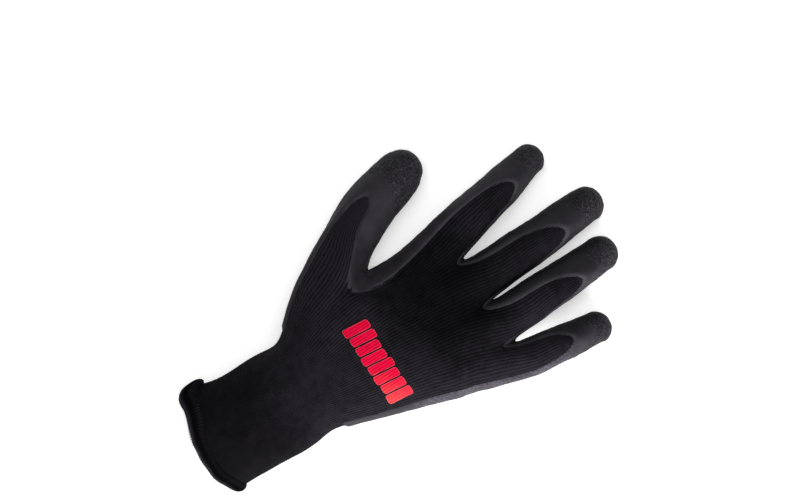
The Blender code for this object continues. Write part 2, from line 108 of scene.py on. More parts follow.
# The coat's edge, in distances from its line that are positive under the coat
COAT_LIP = (-0.0012, 0.0022)        # where the sheet starts and where it is full
COAT_SINK = 0.0005                  # how deep in the knit it starts
COAT_START = 0.0012                 # the edge above the wrist seam, and its arc
COAT_ARC = 0.0030
CRINKLED_FROM = (0.0020, 0.0070)
BACK_CRINKLED_FROM = (0.0070, 0.0160)
LATEX_CRINKLES = Swell(0.0022, 0.00016, 3.0)
WEB_SPREAD = 0.0046         # of the coat over the knit, beside this line at the thumb's web
WEB_SPREAD_LINE = ((-0.033, 0.018), (-0.060, 0.046))
WEB_SPREAD_TAPER = 0.8      # of it, lost towards the line's end
WEB_SPREAD_ENDS = (0.003, 0.013)    # distance from the line

# Where painted light makes the latex paler, on the little finger's side of the hand,
# and painted shade makes it darker, on the fingers' sides towards the thumb: the start
# and the end of each change, over the hand or in how much a face looks that way
FACING = (0.10, 0.75)
LIT_SIDE_FACING = (0.30, 0.85)
LIT_SIDE_ACROSS = (0.036, 0.043)
LIT_SIDE_FROM = (-0.010, 0.012)
LIT_SIDE_TO = (0.088, 0.104)
THUMBWARD_SHADE_ACROSS = (-0.022, -0.012)
THUMBWARD_SHADE_FROM = (0.050, 0.066)

# The hem's thread and lumps, and the print's skin
LOOP_SPACING = 0.00125
LOOP_ROOM = 0.0002          # how much a loop is larger than the hem
LOOP_SLANT = 0.22           # radians
THREAD_RADIUS = 0.00042
HEM_LUMP_SIZE = 0.007
HEM_LUMP_SHARE = 0.10       # of the hem's thickness
PRINT_LIFT = 0.00032        # of its face over the knit
PRINT_THICKNESS = 0.0004
PRINT_WALE = 0.0015
PRINT_CORNER = 0.0012       # radius at the ends of a bar
PRINT_RAGGED = 0.0017       # how much a bar's ends vary

# Shades of the black dyes, and the print's reds
KNIT_SHADES = (0.0012, 0.0150)      # groove and crest
THREAD_SHADES = (0.0014, 0.0105)
# painted highlight along the hem's outer edge
THREAD_HIGHLIGHT = 0.055
LATEX_SHADES = (0.010, 0.017)
# crinkled latex, dark in the pits and light on the ridges: painted shade in the pits, over the
# latex's own dark grey
CRINKLE_SHADES = (0.0035, 0.0330)
LATEX_RIM = 0.032
LATEX_SOAKED = 0.002
RED = (0.60, 0.0015, 0.034, 1.0)
FADED_RED = (0.66, 0.046, 0.044, 1.0)
WORN_RED = (0.085, 0.003, 0.006, 1.0)
RIM_RED = (0.36, 0.20, 0.24, 1.0)
PALE = (0.93, 0.93, 0.93, 1.0)
WHITE = (1.0, 1.0, 1.0, 1.0)

# Camera: straight down, turned so that the hand points up and to the right
CAMERA_DISTANCE = 6.0
VIEW_WIDTH = 0.421          # what the picture's width takes in at that distance
VIEW_HEIGHT = 0.012         # height over the floor that the distance is measured from
VIEW_CENTRE = (-0.0328, 0.0490)
VIEW_TURN = 57.0            # degrees
SENSOR = 0.036

# Studio
Lamp = namedtuple("Lamp", "name spot size power")
LAMPS = (
    Lamp("little_side_lamp", (0.85, -0.05, 0.34), 0.6, 16.0),
    Lamp("thumb_side_lamp", (-0.75, 0.35, 0.45), 0.6, 1.0),
    Lamp("top_lamp", (-0.20, 0.10, 1.20), 0.8, 7.0),
)
LAMP_AIM = (0.0, 0.03, 0.0)
SURROUND_STRENGTH = 0.33
FLOOR_SIZE = 6.0
FLOOR_DROP = 0.0003         # under the glove
FLOOR_GLOW = 0.42


def between(low, high, share):
    return low + (high - low) * share


def smoothstep(low, high, value):
    share = np.clip((value - low) / (high - low), 0.0, 1.0)
    return share * share * (3.0 - 2.0 * share)


def add_camera():
    camera = bpy.data.objects.new("camera", bpy.data.cameras.new("camera"))
    bpy.context.scene.collection.objects.link(camera)
    camera.data.sensor_width = SENSOR * 1000.0
    camera.data.lens = SENSOR * 1000.0 * CAMERA_DISTANCE / VIEW_WIDTH
    camera.location = (*VIEW_CENTRE, CAMERA_DISTANCE + VIEW_HEIGHT)
    camera.rotation_euler = (0.0, 0.0, math.radians(VIEW_TURN))
    bpy.context.scene.camera = camera


def add_studio():
    """A pale floor, a white surround and three soft lamps, two of them low at the sides."""
    scene = bpy.context.scene
    scene.view_settings.view_transform = "Standard"
    world = bpy.data.worlds.new("studio")
    world.use_nodes = True
    background = world.node_tree.nodes["Background"]
    background.inputs["Color"].default_value = WHITE
    background.inputs["Strength"].default_value = SURROUND_STRENGTH
    scene.world = world
    for name, spot, size, power in LAMPS:
        lamp = bpy.data.lights.new(name, "AREA")
        lamp.size = size
        lamp.energy = power
        holder = bpy.data.objects.new(name, lamp)
        holder.location = spot
        aim = Vector(LAMP_AIM) - Vector(spot)
        holder.rotation_euler = aim.to_track_quat("-Z", "Y").to_euler()
        scene.collection.objects.link(holder)
    bpy.ops.mesh.primitive_plane_add(size=FLOOR_SIZE, location=(0.0, 0.0, -FLOOR_DROP))
    floor = bpy.context.object
    floor.name = "floor"
    finish = Finish("pale_floor", roughness=0.9, specular=0.1)
    finish.feed("Base Color", PALE)
    finish.feed("Emission Color", PALE)
    finish.feed("Emission Strength", FLOOR_GLOW)
    floor.data.materials.append(finish.material)


def plug(tree, slot, value):
    """Links the slot to another socket, or gives it a plain value."""
    if isinstance(value, Number):
        value = value.socket
    if isinstance(value, bpy.types.NodeSocket):
        tree.links.new(value, slot)
    else:
        slot.default_value = value


def add_node(tree, kind, sockets=None, output=0, **settings):
    """A node of that kind, its settings made first, and one of its outputs."""
    made = tree.nodes.new(kind)
    for name, value in settings.items():
        setattr(made, name, value)
    for key, value in (sockets or {}).items():
        plug(tree, made.inputs[key], value)
    return made.outputs[output]


class Number:
    """A number in a node tree, on which Python's arithmetic adds Math nodes."""

    def __init__(self, tree, socket):
        self.tree = tree
        self.socket = socket

    def _made(self, kind, sockets, **settings):
        return Number(self.tree, add_node(self.tree, kind, sockets, **settings))

    def _math(self, operation, *terms):
        return self._made("ShaderNodeMath", dict(enumerate(terms)), operation=operation)

    def __add__(self, other):
        return self._math("ADD", self, other)

    def __radd__(self, other):
        return self._math("ADD", other, self)

    def __sub__(self, other):
        return self._math("SUBTRACT", self, other)

    def __rsub__(self, other):
        return self._math("SUBTRACT", other, self)

    def __mul__(self, other):
        return self._math("MULTIPLY", self, other)

    def __rmul__(self, other):
        return self._math("MULTIPLY", other, self)

    def __pow__(self, other):
        return self._math("POWER", self, other)

    def __rpow__(self, other):
        return self._math("POWER", other, self)

    def __abs__(self):
        return self._math("ABSOLUTE", self)

    def fraction(self):
        return self._math("FRACT", self)

    def step(self, low, high):
        """0 below low, 1 above high and smooth between them."""
        sockets = {"Value": self, "From Min": low, "From Max": high}
        return self._made("ShaderNodeMapRange", sockets, interpolation_type="SMOOTHSTEP")


class Finish:
    """A material and the nodes that make its colour, gloss and relief."""

    def __init__(self, name, roughness, specular):
        self.material = bpy.data.materials.new(name)
        self.material.use_nodes = True
        self.tree = self.material.node_tree
        self.shader = self.tree.nodes["Principled BSDF"]
        self.feed("Roughness", roughness)
        self.feed("Specular IOR Level", specular)

    def feed(self, name, value):
        """Gives one of the shader's sockets its value or its link."""
        plug(self.tree, self.shader.inputs[name], value)

    def node(self, kind, sockets=None, output=0, **settings):
        return Number(self.tree, add_node(self.tree, kind, sockets, output, **settings))

    def attribute(self, name):
        return self.node("ShaderNodeAttribute", output="Fac", attribute_name=name)

    def place(self):
        return self.node("ShaderNodeTexCoord", output="Object")

    def parts(self, vector, *axes):
        """The vector's numbers along those axes."""
        return [self.node("ShaderNodeSeparateXYZ", {0: vector}, axis) for axis in axes]

    def stitches(self):
        """Wale and course numbers from the piece's knit map."""
        return self.parts(self.node("ShaderNodeUVMap", uv_map="knit"), "X", "Y")

    def noise(self, size, detail=2.0, distortion=0.0):
        sockets = {
            "Vector": self.place(), "Scale": 1.0 / size,
            "Detail": detail, "Distortion": distortion,
        }
        return self.node("ShaderNodeTexNoise", sockets)

    def drift(self, size, reach):
        """Noise about zero, of which reach is the whole width."""
        return (self.noise(size) - 0.5) * reach

    def mix(self, share, first, second):
        sockets = {0: share, 6: first, 7: second}
        return self.node("ShaderNodeMix", sockets, output=2, data_type="RGBA")

    def relief(self, height, depth):
        self.feed("Normal", self.node("ShaderNodeBump", {"Height": height, "Distance": depth}))


def tinted(value):
    """A dark dye of that shade, slightly violet."""
    return (value * 1.04, value * 0.93, value * 1.22, 1.0)


def jersey(wale, course):
    """Height of plain knit: each wale is a column of V-shaped stitches."""
    side = abs(wale.fraction() * 2.0 - 1.0)
    leg = (course - side * 0.55).fraction() * 2.0 - 1.0
    loop = 1.0 - leg * leg
    column = 1.0 - side ** 2.5
    middle = side.step(0.0, 0.25)
    return column * 0.44 + loop * column * 0.46 + middle * 0.10


def knit_finish(name):
    """Yarn in slightly wandering wales, with a soft cloudiness over the hand.

    The ribs stand out most on the thumb. The knit is darker on the cuff and on the fingers,
    and painted shade makes it darkest in the middle of the back and lighter away from it.
    """
    finish = Finish(name, roughness=0.95, specular=0.05)
    wale, course = finish.stitches()
    across, along = finish.parts(finish.place(), "X", "Y")
    sway = finish.drift(0.006, 0.6) + finish.drift(0.0019, 0.35)
    height = jersey(wale + sway, course)
    mean = 0.45
    bold = between(0.80, 2.50, (across * -1.0).step(*RIBBED_FROM))
    ribs = mean + (height - mean) * bold
    fuzz = finish.noise(0.0006, detail=3.0)
    drawn = finish.noise(0.0045, detail=1.0)
    away = finish.node(
        "ShaderNodeVectorMath", {0: finish.place(), 1: BACK_SHADE_MIDDLE}, "Value", operation="DISTANCE"
    )
    # painted shade: darkest in the middle of the back, lighter away from it
    painted_back_shade = between(0.35, 1.10, away.step(*BACK_SHADE_FROM))
    hand = between(0.50, 1.00, along.step(*HAND_FROM))
    dye = hand * between(1.00, 0.70, along.step(*FINGERS_FROM))
    shade = (ribs * 0.95 + fuzz * 0.35) * between(0.5, 1.3, drawn) * painted_back_shade * dye
    shade = (shade + finish.drift(0.024, 0.4)).step(0.10, 1.10)
    finish.feed("Base Color", finish.mix(shade, *map(tinted, KNIT_SHADES)))
    finish.relief(height + fuzz * 0.3, depth=0.00042)
    return finish.material


def latex_finish():
    """Crinkled latex, smooth along its edges, soaking into the knit at the very edge.

    Painted highlight makes it paler along the little finger's side of the hand, and painted
    shade makes it darker on the fingers' sides towards the thumb. The crinkles are darker in
    their pits: painted shade there, over the latex's own dark grey.
    """
    finish = Finish("dark_latex", roughness=0.6, specular=0.16)
    edge = finish.attribute("edge_mm")
    stitch = jersey(*finish.stitches())
    patches = finish.noise(0.007)
    folds = finish.noise(0.0014, detail=1.5, distortion=0.9)
    ridges = 1.0 - (abs(folds * 2.0 - 1.0) * 5.0).step(0.0, 1.0)
    fine = finish.noise(0.0005)
    crinkled = (finish.attribute("crinkled") + (patches - 0.5) * 0.9).step(0.15, 0.85)
    teeth = (stitch - 0.5) * 1.7 + finish.drift(0.0016, 1.1)
    soaked = (edge + teeth + finish.drift(0.005, 1.4)).step(0.05, 0.4)
    rim = soaked * (1.0 - edge.step(0.5, 2.2))
    smooth_colour = finish.mix(patches.step(0.25, 0.8), *map(tinted, LATEX_SHADES))
    # painted shade in the crinkles' pits, over the latex's own dark grey
    crinkle_colour = finish.mix(ridges * 0.95 + fine * 0.10, *map(tinted, CRINKLE_SHADES))
    latex = finish.mix(crinkled, smooth_colour, crinkle_colour)
    latex = finish.mix(rim * 0.45, latex, tinted(LATEX_RIM))
    # painted highlight on the little finger's side, brightest on the crinkles' ridges
    paler = 0.76 + fine * 0.48 + finish.attribute("painted_side_highlight") * (0.6 + ridges * 2.4)
    # painted shade on the fingers' sides towards the thumb
    paler = paler * (1.0 - finish.attribute("painted_thumbward_shade") * 0.55)
    latex = finish.node("ShaderNodeVectorMath", {0: latex, "Scale": paler}, operation="SCALE")
    finish.feed("Base Color", finish.mix(soaked, tinted(LATEX_SOAKED), latex))
    finish.feed("Roughness", 0.92 - soaked * 0.34 + crinkled * 0.10)
    crinkle_height = ridges * 0.9 + fine * 0.25
    smooth_height = stitch * 0.12 + fine * 0.08
    height = crinkled * crinkle_height + (1.0 - crinkled) * smooth_height
    finish.relief(height * soaked + (1.0 - soaked) * stitch * 0.6, depth=0.00035)
    return finish.material


def print_finish():
    """Red print pressed into the knit, with pale rims, paler towards the little finger."""
    finish = Finish("red_print", roughness=0.75, specular=0.03)
    stitch = jersey(*finish.stitches())
    across, along = finish.parts(finish.place(), "X", "Y")
    fade = across * 1000.0 - along * 900.0 + finish.drift(0.004, 16.0)
    red = finish.mix(fade.step(6.0, 36.0), RED, FADED_RED)
    worn = (1.0 - stitch + finish.drift(0.002, 0.6)).step(0.40, 0.90)
    red = finish.mix(worn * 0.85, red, WORN_RED)
    finish.feed("Base Color", finish.mix(finish.attribute("rim") * 0.35, red, RIM_RED))
    finish.relief(stitch + finish.noise(0.0005) * 0.3, depth=0.00022)
    return finish.material


def thread_finish():
    """Thread over the hem, with a painted highlight along its outer edge and painted shade in the
    crease.
    """
    finish = Finish("black_thread", roughness=0.95, specular=0.05)
    dark, light = map(tinted, THREAD_SHADES)
    fuzz = finish.noise(0.0005, detail=3.0)
    strands = finish.noise(0.0011, detail=1.0, distortion=1.0)
    from_edge = finish.attribute("from_edge")
    # painted highlight: lighter thread along the hem's outer edge
    worn = 1.0 - from_edge.step(-0.80, -0.40)
    # painted shade: darker thread in the hem's crease
    painted_crease_shade = from_edge.step(-0.50, -0.20) * (1.0 - from_edge.step(0.20, 0.60))
    lit = finish.mix(worn, finish.mix(painted_crease_shade, light, dark), tinted(THREAD_HIGHLIGHT))
    shade = (fuzz * 0.6 + strands * 0.6).step(0.35, 0.85)
    finish.feed("Base Color", finish.mix(shade, dark, lit))
    finish.relief(fuzz + strands, depth=0.0002)
    return finish.material


def from_wrist(x, y, z):
    """A point given from the wrist seam, in the glove's own frame."""
    return Vector((x, y - WRIST_SET_BACK, z))


# The hand's sections, as in the solid: shares of the driving sizes above
PalmRow = namedtuple(
    "PalmRow",
    "name along_thumb along_little side_reach centre width"
    " coat_thumb thumb_web index_web middle_web ring_web coat_little"
    " top middle bottom thumb_dip web_dip",
)
PALM_ROWS = [
    PalmRow("wrist", 0.00, 0.00, 0.00, -0.003, 0.00,
            -0.946, -0.55, -0.17, 0.21, 0.59, 0.93, 1.00, 0.50, 0.02, 0.00, 0.00),
    PalmRow("ball", 0.19, 0.22, 0.00, -0.047, 0.45,
            -0.968, -0.51, -0.09, 0.29, 0.65, 0.96, 1.02, 0.46, -0.01, 0.00, 0.00),
    PalmRow("split", 0.44, 0.55, 0.00, -0.065, 1.00,
            -0.975, -0.47, -0.09, 0.28, 0.63, 0.94, 1.00, 0.43, 0.02, 0.10, 0.00),
    PalmRow("web", 0.56, 0.67, 0.08, 0.094, 0.878,
            None, -0.79, -0.47, 0.04, 0.51, 0.93, 0.99, 0.46, 0.08, 0.02, 0.00),
    PalmRow("palm", 0.77, 0.78, 0.02, 0.111, 0.91,
            None, -0.82, -0.49, 0.04, 0.52, 0.94, 0.96, 0.48, 0.14, 0.00, 0.02),
    PalmRow("knuckle", 1.01, 0.93, 0.00, 0.119, 1.00,
            None, -0.88, -0.46, 0.11, 0.59, 0.96, 0.88, 0.52, 0.19, 0.00, 0.08),
]
SPLIT_ROW = 2
DOME_POWER = 2.3
PALM_POWER = 3.0
SIDE_LINE = 0.88            # the outermost lines on the palm side
Web = namedtuple("Web", "name across along rise")
THUMB_WEB = Web("thumb_web", -0.370, 0.583, 0.40)
FINGER_WEBS = [
    Web("index_web", -0.110, 1.013, 0.50),
    Web("middle_web", 0.168, 1.035, 0.56),
    Web("ring_web", 0.438, 1.030, 0.48),
]
WEB_REACH = 0.035           # of the palm side under the fingers' roots
Finger = namedtuple(
    "Finger", "name across along length splay root_width tip_width roll rise bare window"
)
FINGERS = [
    Finger("index", -0.2565, 1.00, 0.849, -11.3, 0.267, 0.188, -20.0, 0.51, 0.63, 0.95),
    Finger("middle", 0.0337, 1.00, 1.000, -2.0, 0.268, 0.210, -25.0, 0.54, 0.63, 1.08),
    Finger("ring", 0.3030, 0.98, 0.930, -1.2, 0.260, 0.208, -33.0, 0.53, 0.63, 1.00),
    Finger("little", 0.5470, 0.98, 0.648, 9.2, 0.228, 0.184, -2.0, 0.49, 0.55, 0.90),
]
FingerRow = namedtuple("FingerRow", "along taper full bow height rise window arch")
FINGER_ROWS = [
    FingerRow(0.32, 0.10, 1.00, 0.000, 0.93, 0.02, 57.0, 0.00),
    FingerRow(0.68, 0.36, 1.00, 0.000, 0.90, 0.22, 52.0, 0.00),
    FingerRow(1.00, 0.55, 1.00, 0.010, 0.90, 0.62, 39.0, 0.06),
    FingerRow(1.57, 1.00, 1.00, -0.008, 0.88, 0.98, 40.0, 0.02),
]
BARE_FINGER_BANDS = 3       # from the root, with bare knit on the back
TIP_ANGLES = (74.0, 50.0, 26.0)     # from a finger's line, of the sections round its end
TIP_FLATTEN = 0.0008        # of a fingertip where it lies
THUMB_ROOT = namedtuple("ThumbRoot", "across along")(-0.442, 0.500)
THUMB_ROLL = 17.0
ThumbRow = namedtuple("ThumbRow", "along across lean width height rise window arch")
THUMB_ROWS = [
    ThumbRow(0.205, -0.130, 26.0, 0.99, 0.632, 0.404, 35.0, 0.00),
    ThumbRow(0.445, -0.235, 19.0, 0.99, 0.600, 0.379, 26.0, 0.06),
    ThumbRow(0.745, -0.318, 15.0, 0.88, 0.543, 0.316, 40.0, 0.02),
]
THUMB_TIP = ThumbRow(0.938, -0.366, 13.0, 0.79, 0.520, 0.284, 42.0, 0.00)
BARE_THUMB_BANDS = 2
CuffRow = namedtuple("CuffRow", "along width shift top bottom sag")
CUFF_ROWS = [
    CuffRow(0.00, 1.000, -0.004, 1.000, 0.03, 0.00),
    CuffRow(0.25, 1.007, 0.006, 1.010, -0.02, 0.10),
    CuffRow(0.60, 1.003, -0.003, 1.030, -0.02, 0.40),
    CuffRow(0.85, 1.002, -0.020, 1.045, -0.01, 0.78),
    CuffRow(1.00, 1.041, -0.045, 1.060, 0.01, 1.00),
]
# Sag of the mouth, from the thumb's side over the back's lines to the little finger's
MOUTH_SAG = (-0.15, 0.45, 0.62, 0.92, 0.94, 0.76, 0.20, 0.00)
# How far the hem stands out of the mouth, in its thicknesses, and its spread along the
# cuff, in its widths, which has reached its last value at 1 / run of the way across
HEM_FLARE = namedtuple("HemFlare", "thumb back little under")(0.30, 0.08, 0.05, 0.00)
HEM_SPREAD = namedtuple("HemSpread", "thumb little run")(1.40, 0.95, 1.5)
HemPlace = namedtuple("HemPlace", "middle out width")
TOP_LINES = 11
THUMB_LINE = 2
WEB_LINES = (4, 6, 8)
TUBE_CORNERS = 8
TIP_COURSES = 3.0           # from the last section to a fingertip's end
TIP_WINDOW = 42.0           # degrees to each side of a fingertip's back


def dome(share, power):
    return (1.0 - min(1.0, abs(share)) ** power) ** (1.0 / power)


class Cage:
    """Corners and faces, with each face's place in the knit and its kind."""

    def __init__(self):
        self.points = []
        self.faces = []
        self.kinds = []
        self.charts = []

    def add(self, point):
        self.points.append(point)
        return len(self.points) - 1

    def face(self, corners, chart, kind):
        self.faces.append(corners)
        self.charts.append(chart)
        self.kinds.append(KINDS.index(kind))

    def band(self, lower, upper, kinds, wales, low_course, high_course):
        """Faces between two closed rings. wales holds the count at both sides of each."""
        count = len(lower)
        for k in range(count):
            after = (k + 1) % count
            left, right = wales[k]
            chart = [
                (left, low_course[k]), (right, low_course[after]),
                (right, high_course[after]), (left, high_course[k]),
            ]
            corners = [lower[k], lower[after], upper[after], upper[k]]
            self.face(corners, chart, kinds[k])


def line_wale(line):
    if line in WALES:
        return float(WALES[line])
    return (WALES[line - 1] + WALES[line + 1]) / 2.0


def round_wales(first, last, around):
    """Wale counts at both sides of each column of a ring, from its first top line."""
    counts = [line_wale(k) for k in range(first, last + 1)]
    columns = list(zip(counts, counts[1:]))
    hidden = around - len(columns)
    for k in range(hidden - 1):
        columns.append((counts[-1] + HIDDEN_WALES * k, counts[-1] + HIDDEN_WALES * (k + 1)))
    columns.append((counts[0] - HIDDEN_WALES, counts[0]))
    return columns


def row_lines(row):
    stated = [
        row.coat_thumb, row.thumb_web, row.index_web,
        row.middle_web, row.ring_web, row.coat_little,
    ]
    shares = {2 * k: share for k, share in enumerate(stated) if share is not None}
    for line in range(min(shares) + 1, TOP_LINES, 2):
        shares[line] = (shares[line - 1] + shares[line + 1]) / 2.0
    return dict(sorted(shares.items()))


def line_dip(row, line):
    if line == THUMB_LINE:
        return row.thumb_dip * BACK_HEIGHT
    return row.web_dip * BACK_HEIGHT if line in WEB_LINES else 0.0


def row_width(row, index):
    if index <= SPLIT_ROW:
        return between(WRIST_WIDTH, BALL_WIDTH, row.width)
    return KNUCKLE_WIDTH * row.width


def section_ring(row, centre, half, heights, along, reach=0.0):
    """The corners of a section on the hand's lines, on its back and on its palm side."""
    top, middle, bottom = heights
    found = {}
    for line, share in row_lines(row).items():
        z = between(middle, top, dome(share, DOME_POWER)) - line_dip(row, line)
        found["top", line] = from_wrist(centre + half * share, along(share, line), z)
        low = max(-SIDE_LINE, min(SIDE_LINE, share))
        z = between(middle, bottom, dome(low, PALM_POWER))
        found["bottom", line] = from_wrist(centre + half * low, along(low, line) + reach, z)
    return found


def palm_ring(row, index):
    half = row_width(row, index) / 2.0
    centre = row.centre * KNUCKLE_WIDTH
    top, middle, bottom = (share * BACK_HEIGHT for share in (row.top, row.middle, row.bottom))
    reach = WEB_REACH * PALM_LENGTH if row.name == "knuckle" else 0.0

    def along(share, _line=None):
        return PALM_LENGTH * between(row.along_thumb, row.along_little, (share + 1.0) / 2.0)

    found = section_ring(row, centre, half, (top, middle, bottom), along, reach)
    side = along(-1.0) + row.side_reach * PALM_LENGTH
    found["thumb_side"] = from_wrist(centre - half, side, middle)
    found["little_side"] = from_wrist(centre + half, along(1.0), middle)
    return found


def cuff_ring(row):
    half = WRIST_WIDTH * row.width / 2.0
    centre = WRIST_WIDTH * row.shift
    top, bottom = row.top * BACK_HEIGHT, row.bottom * BACK_HEIGHT
    middle = (top + bottom) / 2.0
    sags = {2 * k: sag for k, sag in enumerate(MOUTH_SAG[1:-1])}
    for line in range(1, TOP_LINES, 2):
        sags[line] = (sags[line - 1] + sags[line + 1]) / 2.0
    sags["thumb_side"], sags["little_side"] = MOUTH_SAG[0], MOUTH_SAG[-1]

    def along(share, line):
        longer = CUFF_SAG * sags[line] + CUFF_SLANT * share
        return -CUFF_LENGTH * row.along - longer * row.sag

    found = section_ring(PALM_ROWS[0], centre, half, (top, middle, bottom), along)
    found["little_side"] = from_wrist(centre + half, along(1.0, "little_side"), middle)
    found["thumb_side"] = from_wrist(centre - half, along(-1.0, "thumb_side"), middle)
    return found


def closed_ring(ring, first, last):
    over = [ring["top", k] for k in range(first, last + 1)]
    under = [ring["bottom", k] for k in range(last, first - 1, -1)]
    return [*over, ring["little_side"], *under, ring["thumb_side"]]


def branch_ring(ring, first, before, after):
    lines = (first, first + 1, first + 2)
    over = [ring["top", k] for k in lines]
    under = [ring["bottom", k] for k in reversed(lines)]
    return [*over, after, *under, before]


def courses(cage, ring):
    """Course numbers of a ring's corners, counted along the hand."""
    return [cage.points[k].y / COURSE for k in ring]


def tube_section(centre, heading, width, height, window_centre, window, arch):
    across = Vector((heading.y, -heading.x, 0.0))
    half_width = width / 2.0 - COVER
    half_height = height / 2.0 - COVER
    coated = TUBE_CORNERS - 2
    step = (360.0 - 2.0 * window) / coated
    right = window_centre - window
    angles = [window_centre + window, window_centre, *[right - step * k for k in range(coated)]]
    points = []
    for k, angle in enumerate(angles):
        turn = math.radians(angle)
        point = centre + across * (math.cos(turn) * half_width)
        point += Vector((0.0, 0.0, math.sin(turn) * half_height))
        if k == 1:
            point += heading * arch
        points.append(point)
    return points


def round_end(tip, heading, width, height, window_centre):
    """Sections round the end of a finger, half as wide as it is deep."""
    half_width, half_height = width / 2.0 - COVER, height / 2.0 - COVER
    sections = []
    for angle in TIP_ANGLES:
        across, along = math.sin(math.radians(angle)), math.cos(math.radians(angle))
        centre = tip - heading * (half_width * (1.0 - along))
        sections.append(tube_section(
            centre, heading, 2.0 * (half_width * across + COVER),
            2.0 * (half_height * across + COVER), window_centre, TIP_WINDOW, 0.0,
        ))
    return sections


def close_tip(cage, ring, tip, wales, course):
    end = cage.add(tip)
    for k in range(0, TUBE_CORNERS, 2):
        chart = [
            (wales[k][0], course), (wales[k][1], course),
            (wales[k + 1][1], course), (wales[k][1], course + TIP_COURSES),
        ]
        cage.face([ring[k], ring[k + 1], ring[(k + 2) % TUBE_CORNERS], end], chart, "coated")


def heading_of(degrees):
    turn = math.radians(degrees)
    return Vector((math.sin(turn), math.cos(turn), 0.0))


def finger_share(finger, along):
    if along <= 1.0:
        return finger.bare * along
    return between(finger.bare, 1.0, along - 1.0)


def add_tube(cage, root_ring, sections, tip, bare_bands, wales):
    """A finger from its root: bands up to its tip, closed over it."""
    lower = root_ring
    low_course = courses(cage, lower)
    previous = sum((cage.points[k] for k in lower), Vector()) / len(lower)
    for number, points in enumerate(sections):
        upper = [cage.add(point) for point in points]
        middle = sum(points, Vector()) / len(points)
        rise = (middle - previous).length / COURSE
        base = sum(low_course) / len(low_course)
        high_course = [base + rise] * len(upper)
        back = "bare" if number < bare_bands else "coated"
        kinds = [back] * 2 + ["coated"] * (TUBE_CORNERS - 2)
        cage.band(lower, upper, kinds, wales, low_course, high_course)
        lower, low_course, previous = upper, high_course, middle
    close_tip(cage, lower, tip, wales, low_course[0])


def add_finger(cage, finger, root_ring, wales):
    heading = heading_of(finger.splay)
    across = Vector((heading.y, -heading.x, 0.0))
    length = finger.length * FINGER_LENGTH
    root_width = finger.root_width * KNUCKLE_WIDTH
    tip_width = finger.tip_width * KNUCKLE_WIDTH
    root = from_wrist(finger.across * KNUCKLE_WIDTH, finger.along * PALM_LENGTH, 0.0)
    last = FINGER_ROWS[-1]
    tip_rise = tip_width * last.height / 2.0 - TIP_FLATTEN
    sections = []
    for row in FINGER_ROWS:
        width = between(root_width, tip_width, row.taper) * row.full
        centre = root + heading * (length * finger_share(finger, row.along))
        centre += across * (row.bow * root_width)
        centre.z = between(finger.rise * BACK_HEIGHT, tip_rise, row.rise)
        sections.append(tube_section(
            centre, heading, width, width * row.height,
            90.0 + finger.roll, row.window * finger.window, row.arch * length,
        ))
    tip = root + heading * (length - COVER)
    tip.z = tip_rise
    sections += round_end(tip, heading, tip_width, tip_width * last.height, 90.0 + finger.roll)
    add_tube(cage, root_ring, sections, tip, BARE_FINGER_BANDS, wales)


def thumb_centre(row):
    return from_wrist(
        THUMB_ROOT.across * BALL_WIDTH + row.across * THUMB_LENGTH,
        THUMB_ROOT.along * PALM_LENGTH + row.along * THUMB_LENGTH,
        row.rise * BACK_HEIGHT,
    )


def add_thumb(cage, root_ring, wales):
    sections = [
        tube_section(
            thumb_centre(row), heading_of(-row.lean),
            THUMB_WIDTH * row.width, BACK_HEIGHT * row.height,
            90.0 + THUMB_ROLL, row.window, row.arch * THUMB_LENGTH,
        )
        for row in THUMB_ROWS
    ]
    tip = thumb_centre(THUMB_TIP)
    sections += round_end(
        tip, heading_of(-THUMB_TIP.lean), THUMB_WIDTH * THUMB_TIP.width,
        BACK_HEIGHT * THUMB_TIP.height, 90.0 + THUMB_ROLL,
    )
    add_tube(cage, root_ring, sections, tip, BARE_THUMB_BANDS, wales)


def glove_cage():
    """The knit's outer face, from the cuff's mouth over the wrist to the five tips."""
    cage = Cage()
    last = TOP_LINES - 1
    rings = []
    for index, row in enumerate(PALM_ROWS):
        rings.append({name: cage.add(point) for name, point in palm_ring(row, index).items()})

    def web(which):
        return cage.add(from_wrist(
            which.across * KNUCKLE_WIDTH, which.along * PALM_LENGTH, which.rise * BACK_HEIGHT,
        ))

    def palm_band(lower, upper, first, back="bare", under="coated"):
        wales = round_wales(first, last, len(lower))
        over = last - first
        kinds = [back] * over + [under] * (len(lower) - over)
        cage.band(lower, upper, kinds, wales, courses(cage, lower), courses(cage, upper))

    upper = closed_ring(rings[0], 0, last)
    for row in CUFF_ROWS[1:]:
        ring = {name: cage.add(point) for name, point in cuff_ring(row).items()}
        lower = closed_ring(ring, 0, last)
        palm_band(lower, upper, 0, "cuff", "cuff")
        upper = lower
    for index in range(SPLIT_ROW):
        palm_band(closed_ring(rings[index], 0, last), closed_ring(rings[index + 1], 0, last), 0)
    thumb_web = web(THUMB_WEB)
    split = rings[SPLIT_ROW]
    wales = round_wales(0, THUMB_LINE, TUBE_CORNERS)
    add_thumb(cage, branch_ring(split, 0, split["thumb_side"], thumb_web), wales)
    lower = closed_ring({**split, "thumb_side": thumb_web}, THUMB_LINE, last)
    for index in range(SPLIT_ROW + 1, len(PALM_ROWS)):
        upper = closed_ring(rings[index], THUMB_LINE, last)
        palm_band(lower, upper, THUMB_LINE)
        lower = upper
    knuckle = rings[-1]
    webs = [knuckle["thumb_side"], *[web(w) for w in FINGER_WEBS], knuckle["little_side"]]
    for number, finger in enumerate(FINGERS):
        first = THUMB_LINE + 2 * number
        ring = branch_ring(knuckle, first, webs[number], webs[number + 1])
        add_finger(cage, finger, ring, round_wales(first, first + 2, TUBE_CORNERS))
    return cage


def new_object(name, mesh):
    made = bpy.data.objects.new(name, mesh)
    bpy.context.scene.collection.objects.link(made)
    return made


